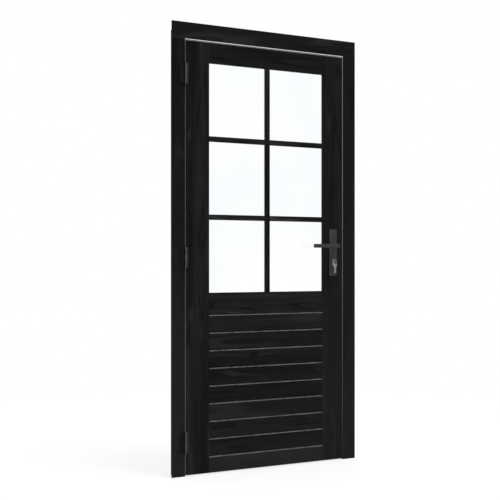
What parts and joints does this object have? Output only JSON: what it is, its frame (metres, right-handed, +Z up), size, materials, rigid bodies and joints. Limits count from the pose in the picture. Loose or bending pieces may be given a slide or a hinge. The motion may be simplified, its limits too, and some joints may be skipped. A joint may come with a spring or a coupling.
{
  "type": "glazed door",
  "caption": "Black timber door leaf glazed in small panes over a panel of level boards, hung in its frame, with a mortise lock, a lever and a pull on long plates and keys in the cylinder.",
  "frame": {"origin": "on the floor, under the middle of the frame's width, with Y = 0 in the middle of the leaf's thickness", "axes": "+Z up; +X towards the lock side; +Y from the face that the leaf opens towards to the face with the stops"},
  "size_m": [1.03, 0.15, 2.1],
  "materials": {
    "painted_timber": "satin black paint over timber, with its grain showing through",
    "clear_glass": "clear flat glass",
    "black_hardware": "satin black paint",
    "lock_steel": "brushed steel",
    "nickel": "polished nickel plate",
    "grey_seal": "pale grey rubber"
  },
  "bodies": {
    "frame": {"hinge_jamb": "painted_timber", "lock_jamb": "painted_timber", "frame_head": "painted_timber", "frame_corner_screws": "lock_steel", "edge_seals": "grey_seal", "strike_plate": "lock_steel", "strike_screws": "lock_steel", "hinge_frame_plate_bottom": "black_hardware", "hinge_frame_plate_middle": "black_hardware", "hinge_frame_plate_top": "black_hardware", "hinge_pins": "black_hardware", "hinge_frame_screws": "black_hardware"},
    "leaf": {"hinge_stile": "painted_timber", "lock_stile": "painted_timber", "top_rail": "painted_timber", "middle_rail": "painted_timber", "bottom_rail": "painted_timber", "panel_board_1": "painted_timber", "panel_board_2": "painted_timber", "panel_board_3": "painted_timber", "panel_board_4": "painted_timber", "panel_board_5": "painted_timber", "panel_board_6": "painted_timber", "panel_board_7": "painted_timber", "panel_board_8": "painted_timber", "upright_bar": "painted_timber", "cross_bar_lower": "painted_timber", "cross_bar_upper": "painted_timber", "pane_bottom_left": "clear_glass", "pane_bottom_right": "clear_glass", "pane_middle_left": "clear_glass", "pane_middle_right": "clear_glass", "pane_top_left": "clear_glass", "pane_top_right": "clear_glass", "glazing_beads": "painted_timber", "hinge_leaf_plate_bottom": "black_hardware", "hinge_leaf_plate_middle": "black_hardware", "hinge_leaf_plate_top": "black_hardware", "hinge_leaf_screws": "black_hardware", "lock_case": "lock_steel", "lock_forend": "lock_steel", "forend_screws": "lock_steel", "cylinder_body": "nickel", "cylinder_screw": "lock_steel", "outer_handle_plate": "black_hardware", "inner_handle_plate": "black_hardware", "handle_bolts": "black_hardware", "pull_handle": "black_hardware", "latch_spring": "lock_steel"},
    "lever": {"outer_lever": "black_hardware", "lever_spindle": "lock_steel", "lever_grub_screw": "lock_steel", "lock_follower": "lock_steel"},
    "latch": {"latch_bolt": "lock_steel"},
    "bolt": {"deadbolt": "lock_steel"},
    "key": {"outer_plug": "nickel", "inner_plug": "nickel", "cylinder_cam": "nickel", "lock_key": "nickel", "key_ring": "nickel", "spare_key": "nickel"}
  },
  "joints": [
    {"name": "leaf_swing", "type": "hinge", "parent": "frame", "child": "leaf", "pos_m": [-0.4415, -0.027, 1], "axis": [0, 0, -1], "range_deg": [0, 170]},
    {"name": "lever_turn", "type": "hinge", "parent": "leaf", "child": "lever", "pos_m": [0.38, 0, 1.07], "axis": [0, -1, 0], "range_deg": [0, 40], "stiffness_Nm_per_rad": 1.2, "springref_deg": -34.38},
    {"name": "latch_slide", "type": "slide", "parent": "leaf", "child": "latch", "axis": [-1, 0, 0], "range_m": [0, 0.0121], "deforming": ["latch_spring"]},
    {"name": "key_turn", "type": "hinge", "parent": "leaf", "child": "key", "pos_m": [0.38, 0, 0.998], "axis": [0, 1, 0], "range_deg": [0, 360]},
    {"name": "deadbolt_slide", "type": "slide", "parent": "leaf", "child": "bolt", "axis": [1, 0, 0], "range_m": [0, 0.0201]}
  ],
  "couplings": [
    {"joint": "latch_slide", "follows": "lever_turn", "m_per_rad": 0.0172},
    {"joint": "deadbolt_slide", "follows": "key_turn", "m_per_rad": 0.00318}
  ]
}
